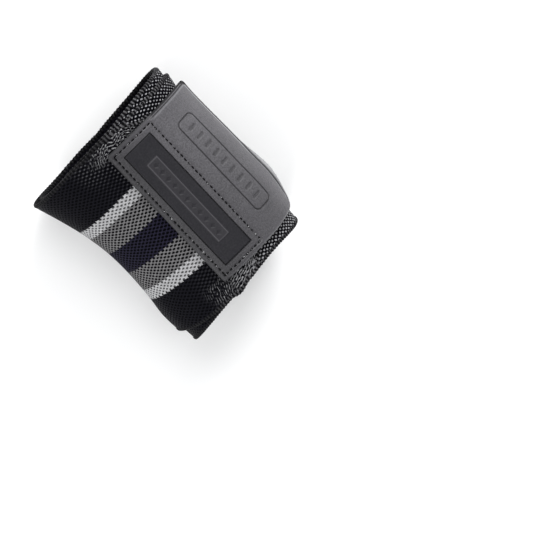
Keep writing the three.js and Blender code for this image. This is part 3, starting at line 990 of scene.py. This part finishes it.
class WRAP_OT_stitches(bpy.types.Operator):
    """Sews the patch down: one stitch is modelled and copied round the sewn part"""

    bl_idname = "mesh.wrap_stitches"
    bl_label = "Stitches"

    def stitch(self):
        """One stitch along X, dipping at its ends where it enters the leather."""
        size = patch()
        pick()
        bpy.ops.mesh.primitive_uv_sphere_add(segments=8, ring_count=8, radius=1)
        obj = bpy.context.object
        edit(obj, lambda: bpy.ops.transform.rotate(
            value=math.pi / 2, orient_axis="Y", center_override=(0, 0, 0)))
        share, side, rise = np.clip(points_of(obj), -1, 1).T
        radius = size.thread / 2 * (0.75 + 0.25 * (1 - share**2))
        bend = -0.00030 * share**6
        set_points(obj, np.column_stack(
            [share * size.stitch_pitch * 0.41, side * radius, rise * radius + bend]))
        return obj

    def runs(self):
        """The sewn lines as (start, end) in reach and column: a rectangle and three short tacks."""
        size = patch()
        near, far = size.sewn_margin, size.sewn_reach
        first, last = size.sewn_margin, size.length - size.sewn_margin
        tack = size.length * 0.79
        return [
            ((near, first), (near, last)), ((near, last), (far, last)),
            ((far, last), (far, first)), ((far, first), (near, first)),
            ((near - 0.0016, tack), (near + 0.0012, tack - 0.0006)),
            ((near - 0.0012, last - 0.0006), (near + 0.0014, last + 0.0008)),
            ((near - 0.0013, first + 0.0009), (near + 0.0013, first - 0.0007)),
        ]

    def execute(self, context):
        size = patch()
        model = self.stitch()
        shape = points_of(model)
        copies = []
        for start, end in self.runs():
            start, end = np.array(start), np.array(end)
            reach = np.linalg.norm(end - start)
            count = max(1, round(reach / size.stitch_pitch))
            along = (end - start) / reach
            side = np.array([-along[1], along[0]])
            for number in range(count):
                middle = start + (end - start) * (number + 0.5) / count
                wobble = 0.00005 * math.sin(number * 2.4 + start[0] * 900)
                flat = middle + shape[:, :1] * along + (shape[:, 1:2] + wobble) * side
                copy = model.copy()
                copy.data = model.data.copy()
                bpy.context.collection.objects.link(copy)
                set_points(copy, np.column_stack([flat, shape[:, 2] + size.thickness - 0.00005]))
                copies.append(copy)
        bpy.data.objects.remove(model)
        pick(*reversed(copies))
        bpy.ops.object.join()
        obj = bpy.context.object
        obj.name = obj.data.name = "patch_stitches"
        lay(obj, PatchMap().place(*points_of(obj).T))
        face_outwards(obj)
        smooth_faces(obj, 60)
        finish_piece(obj, thread_finish(), "patch_leather")
        return {"FINISHED"}


class WRAP_OT_hooks(bpy.types.Operator):
    """Lays the hook pad under the free part of the patch"""

    bl_idname = "mesh.wrap_hooks"
    bl_label = "Hook pad"

    def execute(self, context):
        size = patch()
        lay_on = PatchMap()
        band_end = math.fmod(UNDERSIDE + band().turns, 1.0)
        shift = float(hollow_section(0.0)[0])
        start = lay_on.distance(0.0, band_end) + size.overhang - shift + 0.0012
        margin, thick, hook = 0.0035, 0.0014, 0.0005
        width = size.reach - margin - start
        long = size.length - 2 * margin
        rows = np.linspace(0, width, round(width / 0.0006) + 1)
        columns = np.linspace(0, long, round(long / 0.0006) + 1)
        obj = flat_sheet("hook_pad_tape", rows, columns, thick)
        reach, column, level = points_of(obj).T
        number = np.rint(reach / rows[1]) + np.rint(column / columns[1])
        centre = (width / 2, long / 2)
        tall = (number % 2 == 0) & (inside_box(reach, column, centre, centre) > 0.001)
        lift = np.where(level < thick / 2, np.where(tall, 0, hook), level) - thick - band().layer_gap
        lay(obj, lay_on.place(reach + start, column + margin, lift))
        finish_piece(obj, hook_finish(), "hook_tape", "hook_pad")
        return {"FINISHED"}


class WRAP_OT_stage(bpy.types.Operator):
    """Sets out the pale floor, the soft lights and the camera"""

    bl_idname = "object.wrap_stage"
    bl_label = "Stage"

    def light(self, name, place, energy, size):
        """A soft square light, turned towards the wrap."""
        data = bpy.data.lights.new(name, "AREA")
        data.energy, data.size = energy, size
        obj = bpy.data.objects.new(name, data)
        bpy.context.scene.collection.objects.link(obj)
        obj.location = place
        away = Vector(place) - Vector((0.0, 0.0, 0.04))
        obj.rotation_euler = away.to_track_quat("Z", "Y").to_euler()

    def execute(self, context):
        size = context.scene.wrap_stage
        pick()
        bpy.ops.mesh.primitive_plane_add(size=8)
        floor = bpy.context.object
        floor.name = "floor"
        plain = Finish("pale floor", {"Roughness": 0.9, "Specular IOR Level": 0.1})
        shade = plain.mix(plain.noise(3.0, 1.0) * 0.1, size.floor, (0.96, 0.96, 0.96))
        floor.data.materials.append(plain.made(shade))
        world = bpy.data.worlds.new("studio")
        context.scene.world = world
        world.use_nodes = True
        background = world.node_tree.nodes["Background"]
        background.inputs["Color"].default_value = (0.98, 0.99, 1.0, 1.0)
        background.inputs["Strength"].default_value = 0.52
        self.light("key", (-0.80, -0.45, 0.50), 9.0, 0.5)
        self.light("fill", (0.80, 0.2, 0.65), 8.0, 0.8)
        self.light("top", (-0.5, -1.0, 1.4), 10.0, 1.2)
        across = Vector((1.0, 0.0, 0.0))
        ahead = Vector((0.0, math.cos(size.tilt), math.sin(size.tilt)))
        back = across.cross(ahead)
        turned_x, turned_y = PICTURE_RIGHT
        right = turned_x * across + turned_y * ahead
        up = -turned_y * across + turned_x * ahead
        target = Vector(frame_shift()) + Vector((0, 0, AIM_HEIGHT)) + AIM[0] * across + AIM[1] * ahead
        data = bpy.data.cameras.new("camera")
        data.sensor_width = 36.0
        data.lens = data.sensor_width * size.distance / size.field
        data.clip_start, data.clip_end = 0.05, 20.0
        camera = bpy.data.objects.new("camera", data)
        context.scene.collection.objects.link(camera)
        turned = Matrix((right, up, back)).transposed().to_4x4()
        camera.matrix_world = Matrix.Translation(target + back * size.distance) @ turned
        context.scene.camera = camera
        context.scene.view_settings.view_transform = "Standard"
        return {"FINISHED"}


class WRAP_PT_sidebar(bpy.types.Panel):
    """Lists the wrap's sizes, colours and pieces"""

    bl_idname = "WRAP_PT_sidebar"
    bl_label = "Wrist wrap"
    bl_space_type = "VIEW_3D"
    bl_region_type = "UI"
    bl_category = "Wrist wrap"

    def draw(self, context):
        for name, group in GROUPS.items():
            box = self.layout.box()
            for key in group.__annotations__:
                box.prop(getattr(context.scene, name), key)
        for operator in OPERATORS:
            self.layout.operator(operator.bl_idname)


GROUPS = {"wrap_band": WrapBand, "wrap_patch": WrapPatch, "wrap_stage": WrapStage}
OPERATORS = (WRAP_OT_band, WRAP_OT_rims, WRAP_OT_patch, WRAP_OT_panel, WRAP_OT_stitches, WRAP_OT_hooks,
             WRAP_OT_stage)
CLASSES = (*GROUPS.values(), *OPERATORS, WRAP_PT_sidebar)


def register():
    for cls in CLASSES:
        bpy.utils.register_class(cls)
    for key, group in GROUPS.items():
        setattr(bpy.types.Scene, key, bpy.props.PointerProperty(type=group))


def unregister():
    for key in GROUPS:
        delattr(bpy.types.Scene, key)
    for cls in reversed(CLASSES):
        bpy.utils.unregister_class(cls)


def main():
    register()
    bpy.ops.mesh.wrap_band()
    bpy.ops.mesh.wrap_rims()
    bpy.ops.mesh.wrap_patch()
    bpy.ops.mesh.wrap_panel()
    bpy.ops.mesh.wrap_stitches()
    bpy.ops.mesh.wrap_hooks()
    bpy.ops.object.wrap_stage()


if __name__ == "__main__":
    main()
